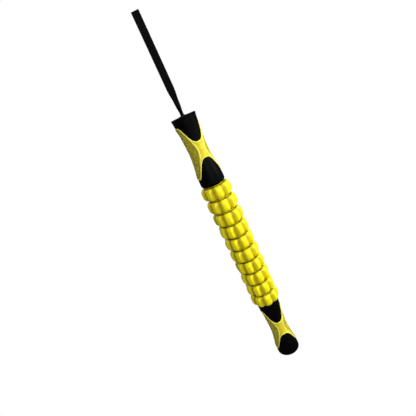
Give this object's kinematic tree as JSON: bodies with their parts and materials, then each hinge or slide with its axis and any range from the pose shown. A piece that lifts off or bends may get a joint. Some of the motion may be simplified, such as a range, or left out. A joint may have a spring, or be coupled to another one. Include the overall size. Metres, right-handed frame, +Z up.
{
  "type": "massage roller stick",
  "caption": "Hand-held massage roller: a row of free-turning lobed rings on a rod between two waisted soft-grip handles, hung by a webbing wrist strap.",
  "frame": {"origin": "the point inside the top of the taut strap loop, where a hook or a thumb holds it", "axes": "+Z up along the stick, towards the strap; +X right and -Y front, so the loop's two legs lie one behind the other along Y and the webbing's face looks along Y"},
  "size_m": [0.0474, 0.0474, 0.5862],
  "materials": {
    "webbing": "woven, matt",
    "black_plastic": "satin moulded",
    "black_rubber": "matt",
    "yellow_plastic": "semi-gloss moulded",
    "yellow_rubber": "soft-touch, matt",
    "steel": "zinc plated",
    "grey_plastic": "satin extruded"
  },
  "bodies": {
    "strap": {"wrist_strap": "webbing"},
    "stick": {"strap_knot": "webbing", "strap_grommet": "black_rubber", "upper_end_cap": "black_plastic", "upper_handle_core": "black_plastic", "upper_grip": "yellow_rubber", "upper_handle_screw": "steel", "upper_screw_washer": "steel", "upper_tube_plug": "steel", "core_tube": "steel", "roller_sleeve": "grey_plastic", "lower_tube_plug": "steel", "lower_handle_screw": "steel", "lower_screw_washer": "steel", "lower_handle_core": "black_plastic", "lower_grip": "yellow_rubber", "lower_end_cap": "black_plastic"},
    "ring_01": {"roller_ring_01": "yellow_plastic"},
    "ring_02": {"roller_ring_02": "yellow_plastic"},
    "ring_03": {"roller_ring_03": "yellow_plastic"},
    "ring_04": {"roller_ring_04": "yellow_plastic"},
    "ring_05": {"roller_ring_05": "yellow_plastic"},
    "ring_06": {"roller_ring_06": "yellow_plastic"},
    "ring_07": {"roller_ring_07": "yellow_plastic"},
    "ring_08": {"roller_ring_08": "yellow_plastic"},
    "ring_09": {"roller_ring_09": "yellow_plastic"},
    "ring_10": {"roller_ring_10": "yellow_plastic"}
  },
  "joints": [
    {"name": "strap_swing", "type": "hinge", "parent": "strap", "child": "stick", "pos_m": [0, 0, -0.14095], "axis": [0, -1, 0], "range_deg": [-70, 70]},
    {"name": "ring_01_roll", "type": "hinge", "parent": "stick", "child": "ring_01", "pos_m": [0, 0, -0.26465], "axis": [0, 0, 1], "continuous": true},
    {"name": "ring_02_roll", "type": "hinge", "parent": "stick", "child": "ring_02", "pos_m": [0, 0, -0.28695], "axis": [0, 0, 1], "continuous": true},
    {"name": "ring_03_roll", "type": "hinge", "parent": "stick", "child": "ring_03", "pos_m": [0, 0, -0.30925], "axis": [0, 0, 1], "continuous": true},
    {"name": "ring_04_roll", "type": "hinge", "parent": "stick", "child": "ring_04", "pos_m": [0, 0, -0.33155], "axis": [0, 0, 1], "continuous": true},
    {"name": "ring_05_roll", "type": "hinge", "parent": "stick", "child": "ring_05", "pos_m": [0, 0, -0.35385], "axis": [0, 0, 1], "continuous": true},
    {"name": "ring_06_roll", "type": "hinge", "parent": "stick", "child": "ring_06", "pos_m": [0, 0, -0.37615], "axis": [0, 0, 1], "continuous": true},
    {"name": "ring_07_roll", "type": "hinge", "parent": "stick", "child": "ring_07", "pos_m": [0, 0, -0.39845], "axis": [0, 0, 1], "continuous": true},
    {"name": "ring_08_roll", "type": "hinge", "parent": "stick", "child": "ring_08", "pos_m": [0, 0, -0.42075], "axis": [0, 0, 1], "continuous": true},
    {"name": "ring_09_roll", "type": "hinge", "parent": "stick", "child": "ring_09", "pos_m": [0, 0, -0.44305], "axis": [0, 0, 1], "continuous": true},
    {"name": "ring_10_roll", "type": "hinge", "parent": "stick", "child": "ring_10", "pos_m": [0, 0, -0.46535], "axis": [0, 0, 1], "continuous": true}
  ]
}
